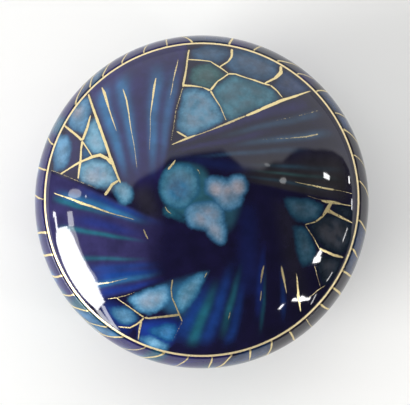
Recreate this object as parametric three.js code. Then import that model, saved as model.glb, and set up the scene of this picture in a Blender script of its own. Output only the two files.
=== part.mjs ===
// A squat round covered box for sweets (bonbonniere) in glazed ceramic: a bowl on a low foot
// ring, and a loose domed lid that drops over the bowl's collar and rests on its ledge.
// Millimetres, +Z up, origin at the centre of the foot ring's underside.
import * as THREE from "three";

// Outer form: two half ellipsoids that share the widest plane, cut off flat by the foot ring.
const bellyRadius = 60; // at the widest plane
const crownRise = 30; // from the widest plane up to the top of the lid
const bowlDrop = 34; // from the widest plane down to where the bowl's curve would close
const lidHeight = 19.8; // from the seam up to the top of the lid
const seamRound = 0.5; // on both edges that meet at the seam

// Foot ring.
const footRadius = 36;
const footHeight = 2.8; // up to where the bowl's curve starts
const footWidth = 4.6;
const footRound = 0.9; // on both edges of the ring
const recessHeight = 2.2; // of the underside within the ring

// Walls.
const bowlWall = 4;
const floorThickness = 4.2;
const floorRound = 12; // where the floor inside turns up into the side
const shoulderThickness = 4; // under the ledge that the lid rests on
const lidWall = 3.5;
const lidRimWall = 3.6; // beside the top of the collar

// Collar that keeps the lid from sliding.
const collarHeight = 3.2; // above the ledge
const collarWall = 3;
const collarRound = 0.9; // on both edges of the collar's top
const collarClearance = 0.7; // all round, between the collar and the lid
const collarHeadroom = 0.6; // above the collar

// Fineness of the turned surfaces.
const turns = 64;
const domeSteps = 10;
const hollowSteps = 8;
const bowlSteps = 10;
const shoulderSteps = 3;
const roundSteps = 3;

// Heights and radii that follow from the sizes above.
const chord = (halfWidth, halfHeight, offset) => halfWidth * Math.sqrt(1 - (offset / halfHeight) ** 2);
const waistHeight = footHeight + chord(bowlDrop, bellyRadius, footRadius);
const seamHeight = waistHeight + crownRise - lidHeight;
const seamRadius = chord(bellyRadius, crownRise, seamHeight - waistHeight);
const collarTop = seamHeight + collarHeight;
const rebateTop = collarTop + collarHeadroom;
const rebateRadius = chord(bellyRadius, crownRise, rebateTop - waistHeight) - lidRimWall;
const collarRadius = rebateRadius - collarClearance;
const floorHeight = recessHeight + floorThickness;

// One point of a profile, where round is the radius that its corner is eased to.
const point = (radius, height, round = 0) => ({ at: new THREE.Vector2(radius, height), round });

// Points along an ellipse about (radius, height), between two angles above the horizontal.
function arc(radius, height, halfWidth, halfHeight, from, to, steps) {
  return Array.from({ length: steps + 1 }, (_, i) => {
    const angle = from + ((to - from) * i) / steps;
    return point(radius + halfWidth * Math.cos(angle), height + halfHeight * Math.sin(angle));
  });
}

// The angle on such an ellipse about the axis at which its points lie at this radius.
const angleAt = (radius, halfWidth) => Math.acos(radius / halfWidth);

// The arc that eases a corner, tangent to the straight runs before and after it.
function eased(corner, before, after) {
  const back = before.at.clone().sub(corner.at).normalize();
  const ahead = after.at.clone().sub(corner.at).normalize();
  const half = Math.acos(back.dot(ahead)) / 2;
  const sweep = Math.sign(ahead.cross(back)) * (Math.PI - 2 * half);
  const start = corner.at.clone().addScaledVector(back, corner.round / Math.tan(half));
  const inward = back.clone().add(ahead).normalize();
  const centre = corner.at.clone().addScaledVector(inward, corner.round / Math.sin(half));
  return Array.from({ length: roundSteps + 1 }, (_, i) =>
    start.clone().rotateAround(centre, (sweep * i) / roundSteps),
  );
}

// A closed body turned about Z from a profile that starts and ends on the axis.
function turned(profile) {
  const outline = profile.flatMap((corner, i) =>
    corner.round ? eased(corner, profile[i - 1], profile[i + 1]) : [corner.at],
  );
  return new THREE.LatheGeometry(outline, turns).rotateX(Math.PI / 2);
}

// From the middle of the underside, round the foot, up the side and over the collar.
function bowlOutside() {
  const footAngle = angleAt(footRadius, bellyRadius);
  const seamAngle = angleAt(seamRadius, bellyRadius);
  return [
    point(0, recessHeight),
    point(footRadius - footWidth, recessHeight),
    point(footRadius - footWidth, 0, footRound),
    point(footRadius, 0, footRound),
    ...arc(0, waistHeight, bellyRadius, bowlDrop, -footAngle, 0, bowlSteps),
    ...arc(0, waistHeight, bellyRadius, crownRise, 0, seamAngle, shoulderSteps).slice(1, -1),
    point(seamRadius, seamHeight, seamRound),
    point(collarRadius, seamHeight),
    point(collarRadius, collarTop, collarRound),
    point(collarRadius - collarWall, collarTop, collarRound),
  ];
}

// From the mouth, out under the ledge, down the side and in to the middle of the floor.
function bowlInside() {
  const ceiling = seamHeight - shoulderThickness;
  const halfWidth = bellyRadius - bowlWall;
  const drop = bowlDrop - bowlWall;
  const shoulderWidth = halfWidth - collarRadius;
  const shoulderRise = ceiling - waistHeight;
  const floorRadius = chord(halfWidth, drop, waistHeight - floorHeight);
  const floorAngle = angleAt(floorRadius, halfWidth);
  return [
    point(collarRadius - collarWall, ceiling),
    ...arc(collarRadius, waistHeight, shoulderWidth, shoulderRise, Math.PI / 2, 0, shoulderSteps),
    ...arc(0, waistHeight, halfWidth, drop, 0, -floorAngle, bowlSteps).slice(1, -1),
    point(floorRadius, floorHeight, floorRound),
    point(0, floorHeight),
  ];
}

// From the middle of the hollow, down and round the rim, and up over the dome.
function lidProfile() {
  const halfWidth = bellyRadius - lidWall;
  const rise = crownRise - lidWall;
  const hollowRadius = chord(halfWidth, rise, rebateTop - waistHeight);
  const hollowAngle = angleAt(hollowRadius, halfWidth);
  const seamAngle = angleAt(seamRadius, bellyRadius);
  return [
    point(0, waistHeight + rise),
    ...arc(0, waistHeight, halfWidth, rise, Math.PI / 2, hollowAngle, hollowSteps).slice(1),
    point(rebateRadius, rebateTop),
    point(rebateRadius, seamHeight),
    point(seamRadius, seamHeight, seamRound),
    ...arc(0, waistHeight, bellyRadius, crownRise, seamAngle, Math.PI / 2, domeSteps).slice(1, -1),
    point(0, waistHeight + crownRise),
  ];
}

function piece(name, colour, profile) {
  const glaze = new THREE.MeshStandardMaterial({ color: colour, roughness: 0.08, metalness: 0 });
  const mesh = new THREE.Mesh(turned(profile), glaze);
  mesh.name = name;
  return mesh;
}

const bonbonniere = new THREE.Group();
bonbonniere.add(piece("bowl", 0x1d2356, [...bowlOutside(), ...bowlInside()]));
bonbonniere.add(piece("lid", 0x242e70, lidProfile()));

export default bonbonniere;
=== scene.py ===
import math

import bpy
import numpy as np
from mathutils import Matrix, Vector


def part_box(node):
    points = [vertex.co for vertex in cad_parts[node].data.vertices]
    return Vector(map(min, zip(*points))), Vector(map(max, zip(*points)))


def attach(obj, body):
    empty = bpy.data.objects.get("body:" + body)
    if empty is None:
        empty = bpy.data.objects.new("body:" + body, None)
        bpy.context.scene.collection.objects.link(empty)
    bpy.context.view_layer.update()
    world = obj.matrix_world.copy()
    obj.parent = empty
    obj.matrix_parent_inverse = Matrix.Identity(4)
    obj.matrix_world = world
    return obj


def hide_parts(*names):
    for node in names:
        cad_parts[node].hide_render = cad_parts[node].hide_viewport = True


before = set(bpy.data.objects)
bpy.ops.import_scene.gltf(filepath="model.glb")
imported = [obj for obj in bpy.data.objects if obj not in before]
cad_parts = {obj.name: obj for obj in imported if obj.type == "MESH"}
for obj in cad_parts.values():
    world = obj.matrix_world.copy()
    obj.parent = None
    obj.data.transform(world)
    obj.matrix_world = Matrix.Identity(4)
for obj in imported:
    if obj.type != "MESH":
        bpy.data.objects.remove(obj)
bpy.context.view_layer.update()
mm = 0.001
print("frame loaded:", sorted(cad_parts))


# Sizes, in millimetres. The outer ones come from the solids.

bowlLow, bowlHigh = (np.array(corner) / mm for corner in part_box("bowl"))
lidLow, lidHigh = (np.array(corner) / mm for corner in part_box("lid"))

form = {
    "belly": bowlHigh[0],       # radius at the widest plane
    "top": lidHigh[2],          # of the lid
    "seam": lidLow[2],          # where the lid rests on the ledge
    "collarTop": bowlHigh[2],
    "crownRise": 30.0,          # from the widest plane to the top of the lid
    "lidCurve": 37.2,           # the dome's own half height, a little flatter towards its edge
    "bowlDrop": 34.0,           # from the widest plane to where the bowl's curve would close
    "seamRound": 0.5,
    "footRadius": 36.0,
    "footWidth": 4.6,
    "footRound": 0.9,
    "glazeLine": 1.6,           # height on the foot where the painted glaze starts
    "recess": 2.2,              # of the underside within the foot ring
    "bowlWall": 4.0,
    "floor": 4.2,
    "floorRound": 12.0,
    "shoulder": 4.0,            # thickness under the ledge
    "lidWall": 3.5,
    "rimWall": 3.6,             # of the lid beside the top of the collar
    "collarWall": 3.0,
    "collarRound": 0.9,
    "hollowRound": 0.8,         # of the recess and under the shoulder
    "ledgeRound": 0.3,          # beside the faces that touch
    "rebateRound": 0.5,         # over the collar
    "glazeLip": 1.2,            # width of the glaze that turns in over the faces that touch
    "clearance": 0.7,           # between the collar and the lid
    "headroom": 0.6,            # above the collar
    "pitch": 0.66,              # of the mesh on the painted surface
    "plainPitch": 2.6,          # of the mesh elsewhere
    "cornerSteps": 4,           # in each rounded corner
    "turns": 540,               # columns of faces all round
}
waist = form["top"] - form["crownRise"]


def chord(halfWidth, halfHeight, offset):
    return halfWidth * math.sqrt(1 - (offset / halfHeight) ** 2)


seamRadius = chord(form["belly"], form["crownRise"], form["seam"] - waist)
rebateTop = form["collarTop"] + form["headroom"]
rebateRadius = chord(form["belly"], form["crownRise"], rebateTop - waist) - form["rimWall"]
collarRadius = rebateRadius - form["clearance"]


# Profiles. A row is (radius, height, round of its corner, zone of the stretch that follows).

painted, plain, bare = 0, 1, 2      # zones: decorated glaze, plain glaze, unglazed body


def arc(radius, height, halfWidth, halfHeight, start, end, zone, pitch):
    length = abs(end - start) * (halfWidth + halfHeight) / 2
    steps = max(3, round(length / pitch))
    angles = np.linspace(start, end, steps + 1)
    return [(radius + halfWidth * math.cos(a), height + halfHeight * math.sin(a), 0.0, zone)
            for a in angles]


def eased(profile):
    rows = list(profile)
    spot = 1
    while spot < len(rows) - 1:
        corner, rounding, zone = np.array(rows[spot][:2]), rows[spot][2], rows[spot][3]
        if not rounding:
            spot += 1
            continue
        while True:     # the arc may be longer than the stretches next to its corner
            back = np.array(rows[spot - 1][:2]) - corner
            ahead = np.array(rows[spot + 1][:2]) - corner
            far = np.linalg.norm(back), np.linalg.norm(ahead)
            back, ahead = back / far[0], ahead / far[1]
            half = math.acos(float(back @ ahead)) / 2
            reach = rounding / math.tan(half)
            if far[1] <= reach:
                del rows[spot + 1]
            elif far[0] <= reach:
                del rows[spot - 1]
                spot -= 1
            else:
                break
        middle = back + ahead
        centre = corner + middle / np.linalg.norm(middle) * rounding / math.sin(half)
        start = corner + back * reach - centre
        sweep = math.copysign(math.pi - 2 * half, ahead[0] * back[1] - ahead[1] * back[0])
        arcRows = []
        for step in range(form["cornerSteps"] + 1):
            turn = sweep * step / form["cornerSteps"]
            x = start[0] * math.cos(turn) - start[1] * math.sin(turn)
            z = start[0] * math.sin(turn) + start[1] * math.cos(turn)
            arcRows.append((centre[0] + x, centre[1] + z, 0.0, zone))
        rows[spot:spot + 1] = arcRows
        spot += len(arcRows)
    return rows


def divided(rows):      # adds points where a straight stretch is longer than its zone's pitch
    out = []
    for here, there in zip(rows, rows[1:]):
        pitch = form["pitch"] if here[3] == painted else form["plainPitch"]
        length = math.dist(here[:2], there[:2])
        steps = max(1, round(length / pitch))
        for step in range(steps):
            share = step / steps
            out.append((here[0] + (there[0] - here[0]) * share,
                        here[1] + (there[1] - here[1]) * share, 0.0, here[3]))
    return out + [rows[-1]]


def bowlProfile():
    belly, drop, wall = form["belly"], form["bowlDrop"], form["bowlWall"]
    foot, inner = form["footRadius"], form["footRadius"] - form["footWidth"]
    footAngle = math.acos(foot / belly)
    seamAngle = math.acos(seamRadius / belly)
    ceiling = form["seam"] - form["shoulder"]
    floorHeight = form["recess"] + form["floor"]
    floorRadius = chord(belly - wall, drop - wall, waist - floorHeight)
    floorAngle = math.acos(floorRadius / (belly - wall))
    mouth = collarRadius - form["collarWall"]
    fine, coarse = form["pitch"], form["plainPitch"]
    return divided(eased([
        (0.0, form["recess"], 0.0, plain),
        (inner, form["recess"], form["hollowRound"], plain),
        (inner, 0.0, form["footRound"], bare),
        (foot, 0.0, form["footRound"], bare),
        (foot, form["glazeLine"], 0.0, painted),
        *arc(0, waist, belly, drop, -footAngle, 0, painted, fine),
        *arc(0, waist, belly, form["crownRise"], 0, seamAngle, painted, fine)[1:-1],
        (seamRadius, form["seam"], form["seamRound"], painted),
        (seamRadius - form["glazeLip"], form["seam"], 0.0, bare),
        (collarRadius, form["seam"], form["ledgeRound"], plain),
        (collarRadius, form["collarTop"], form["collarRound"], plain),
        (mouth, form["collarTop"], form["collarRound"], plain),
        (mouth, ceiling, form["hollowRound"], plain),
        *arc(collarRadius, waist, belly - wall - collarRadius, ceiling - waist,
             math.pi / 2, 0, plain, coarse),
        *arc(0, waist, belly - wall, drop - wall, 0, -floorAngle, plain, coarse)[1:-1],
        (floorRadius, floorHeight, form["floorRound"], plain),
        (0.0, floorHeight, 0.0, plain),
    ]))


def lidProfile():
    belly, rise, wall = form["belly"], form["crownRise"], form["lidWall"]
    curve = form["lidCurve"]
    spread = seamRadius / chord(1.0, curve, form["seam"] - form["top"] + curve)
    rimAngle = math.acos(seamRadius / spread)
    hollowRadius = chord(belly - wall, rise - wall, rebateTop - waist)
    hollowAngle = math.acos(hollowRadius / (belly - wall))
    fine, coarse = form["pitch"], form["plainPitch"]
    return divided(eased([
        (0.0, waist + rise - wall, 0.0, plain),
        *arc(0, waist, belly - wall, rise - wall, math.pi / 2, hollowAngle, plain, coarse)[1:],
        (rebateRadius, rebateTop, form["rebateRound"], plain),
        (rebateRadius, form["seam"], form["ledgeRound"], bare),
        (seamRadius - form["glazeLip"], form["seam"], 0.0, painted),
        (seamRadius, form["seam"], form["seamRound"], painted),
        *arc(0, form["top"] - curve, spread, curve, rimAngle, math.pi / 2, painted, fine)[1:-1],
        (0.0, form["top"], 0.0, painted),
    ]))


# Adds a node with its settings. Its inputs are a row in the sockets' order, or a dictionary: a
# value is set and another node's socket is linked. Gives the node, or the output asked for.

def addNode(tree, kind, inputs=(), out=None, **settings):
    made = tree.nodes.new(kind)
    for name, value in settings.items():
        setattr(made, name, value)
    for socket, value in (inputs.items() if isinstance(inputs, dict) else enumerate(inputs)):
        if isinstance(value, bpy.types.NodeSocket):
            tree.links.new(value, made.inputs[socket])
        else:
            made.inputs[socket].default_value = value
    return made if out is None else made.outputs[out]


# Turned ware: revolves the object's own profile line about Z and gives each zone its material.

def turnedWareTree():
    tree = bpy.data.node_groups.new("turnedWare", "GeometryNodeTree")
    sockets = [("Profile", "INPUT", "NodeSocketGeometry"), ("Turns", "INPUT", "NodeSocketInt"),
               ("Weld Distance", "INPUT", "NodeSocketFloat"),
               ("Painted Glaze", "INPUT", "NodeSocketMaterial"),
               ("Plain Glaze", "INPUT", "NodeSocketMaterial"),
               ("Bare Body", "INPUT", "NodeSocketMaterial"),
               ("Ware", "OUTPUT", "NodeSocketGeometry")]
    for name, direction, kind in sockets:
        tree.interface.new_socket(name, in_out=direction, socket_type=kind)
    given = addNode(tree, "NodeGroupInput").outputs
    profile, turns = given["Profile"], given["Turns"]

    # a grid with one column for each turn, whose points know their row of the profile
    count = addNode(tree, "GeometryNodeAttributeDomainSize", (profile,), "Point Count")
    columns = addNode(tree, "ShaderNodeMath", (turns, 1.0), 0, operation="ADD")
    grid = addNode(tree, "GeometryNodeMeshGrid", {"Vertices X": columns, "Vertices Y": count}, "Mesh")
    index = addNode(tree, "GeometryNodeInputIndex", out=0)
    share = addNode(tree, "ShaderNodeMath", (index, count), 0, operation="DIVIDE")
    column = addNode(tree, "ShaderNodeMath", (share,), 0, operation="FLOOR")
    passed = addNode(tree, "ShaderNodeMath", (column, count), 0, operation="MULTIPLY")
    row = addNode(tree, "ShaderNodeMath", (index, passed), 0, operation="SUBTRACT")
    caught = addNode(tree, "GeometryNodeCaptureAttribute", {"Geometry": grid})
    caught.capture_items.new("FLOAT", "Row")
    tree.links.new(row, caught.inputs["Row"])

    # each point goes to its place on the profile, turned about Z
    place = addNode(tree, "GeometryNodeInputPosition", out=0)
    onProfile = addNode(tree, "GeometryNodeSampleIndex", (profile,), data_type="FLOAT_VECTOR")
    tree.links.new(place, onProfile.inputs["Value"])
    tree.links.new(row, onProfile.inputs["Index"])
    part = addNode(tree, "ShaderNodeMath", (column, turns), 0, operation="DIVIDE")
    angle = addNode(tree, "ShaderNodeMath", (part, 2 * math.pi), 0, operation="MULTIPLY")
    turned = addNode(tree, "ShaderNodeVectorRotate",
                     {"Vector": onProfile.outputs[0], "Axis": (0, 0, 1), "Angle": angle}, 0,
                     rotation_type="AXIS_ANGLE")
    dressed = addNode(tree, "GeometryNodeSetPosition",
                      {"Geometry": caught.outputs["Geometry"], "Position": turned}, 0)

    # a face takes the material of its lower row's zone
    lower = addNode(tree, "ShaderNodeMath", (caught.outputs["Row"],), 0, operation="FLOOR")
    zoneName = addNode(tree, "GeometryNodeInputNamedAttribute", {"Name": "zone"}, data_type="INT")
    zone = addNode(tree, "GeometryNodeSampleIndex", (profile,), data_type="INT")
    tree.links.new(zoneName.outputs["Attribute"], zone.inputs["Value"])
    tree.links.new(lower, zone.inputs["Index"])
    for number, name in ((painted, "Painted Glaze"), (plain, "Plain Glaze"), (bare, "Bare Body")):
        chosen = addNode(tree, "FunctionNodeCompare", {2: zone.outputs[0], 3: number}, 0,
                         data_type="INT", operation="EQUAL")
        dressed = addNode(tree, "GeometryNodeSetMaterial",
                          {"Geometry": dressed, "Selection": chosen, "Material": given[name]}, 0)
    welded = addNode(tree, "GeometryNodeMergeByDistance",
                     {"Geometry": dressed, "Distance": given["Weld Distance"]}, 0)
    smoothed = addNode(tree, "GeometryNodeSetShadeSmooth", {"Geometry": welded}, 0)
    real = addNode(tree, "GeometryNodeRealizeInstances", {"Geometry": smoothed}, 0)
    addNode(tree, "NodeGroupOutput", {"Ware": real})
    return tree


def turnedPiece(name, profile, materials):
    line = bpy.data.meshes.new(name + "Profile")
    places = [(radius * mm, 0.0, height * mm) for radius, height, _, _ in profile]
    line.from_pydata(places, [(i, i + 1) for i in range(len(places) - 1)], [])
    zones = line.attributes.new("zone", "INT", "POINT")
    zones.data.foreach_set("value", [row[3] for row in profile])
    carrier = bpy.data.objects.new(name + "Profile", line)
    bpy.context.scene.collection.objects.link(carrier)
    modifier = carrier.modifiers.new("turnedWare", "NODES")
    modifier.node_group = wareTree
    values = {"Turns": form["turns"], "Weld Distance": 1e-6, "Painted Glaze": materials[0],
              "Plain Glaze": materials[1], "Bare Body": materials[2]}
    for item in wareTree.interface.items_tree:
        if item.in_out == "INPUT" and item.name in values:
            modifier[item.identifier] = values[item.name]
    bpy.context.view_layer.update()
    evaluated = carrier.evaluated_get(bpy.context.evaluated_depsgraph_get())
    mesh = bpy.data.meshes.new_from_object(evaluated)
    bpy.data.objects.remove(carrier)
    for number in reversed(range(len(mesh.materials))):     # the tree's own empty slot
        if mesh.materials[number] is None:
            mesh.materials.pop(index=number)
    piece = bpy.data.objects.new(name, mesh)
    bpy.context.scene.collection.objects.link(piece)
    return piece


# Colours are sRGB hex values, turned to linear here.

def linear(code):
    parts = np.array([int(code[i:i + 2], 16) / 255 for i in (1, 3, 5)])
    return np.where(parts <= 0.04045, parts / 12.92, ((parts + 0.055) / 1.055) ** 2.4)


palette = {
    "ground": "#0f0c29",        # cobalt over violet, between the painted areas
    "fold": "#211e4e",          # violet valleys of the pleats
    "haze": "#2a274c",          # the same where the glaze is thinner
    "deep": "#142d74",
    "blue": "#2a608a",
    "azure": "#143878",
    "sea": "#1c5a68",
    "char": "#2a282b",          # brownish black where the colours ran together; on the right it is also painted reflection and painted shade
    "pale": "#487a94",
    "sky": "#6390ac",
    "frost": "#557f94",
    "brook": "#47718e",
    "reed": "#2a5a68",          # green-blue round the middle's pools
    "mere": "#4f7893",
    "mist": "#376878",
    "fjord": "#39697f",
    "green": "#335a5c",
    "slate": "#2c4d69",
    "shade": "#26395a",
    "lagoon": "#2a4c5e",
    "night": "#1f2833",
    "lake": "#28587a",
    "rose": "#989095",          # greyish pink hearts of the pale cells, and a painted highlight near the edge
    "gold": "#e0cd98",
    "paleGold": "#efdcae",      # the ring, rubbed paler
    "inside": "#1a2c78",
    "biscuit": "#d8cbb4",
}
colour = {name: linear(code) for name, code in palette.items()}


# The lid's painting, in millimetres seen from above. A fan's angles are degrees from +X,
# anticlockwise, about its apex, and it starts "from" that far out. A band is (angle, half width
# in degrees, colour, strength, and how far out it starts and ends). A cell is a colour and its
# corners, a pool a colour and its circles (x, y, radius). A line is its wear and then its points
# (x, y, half width).

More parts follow.
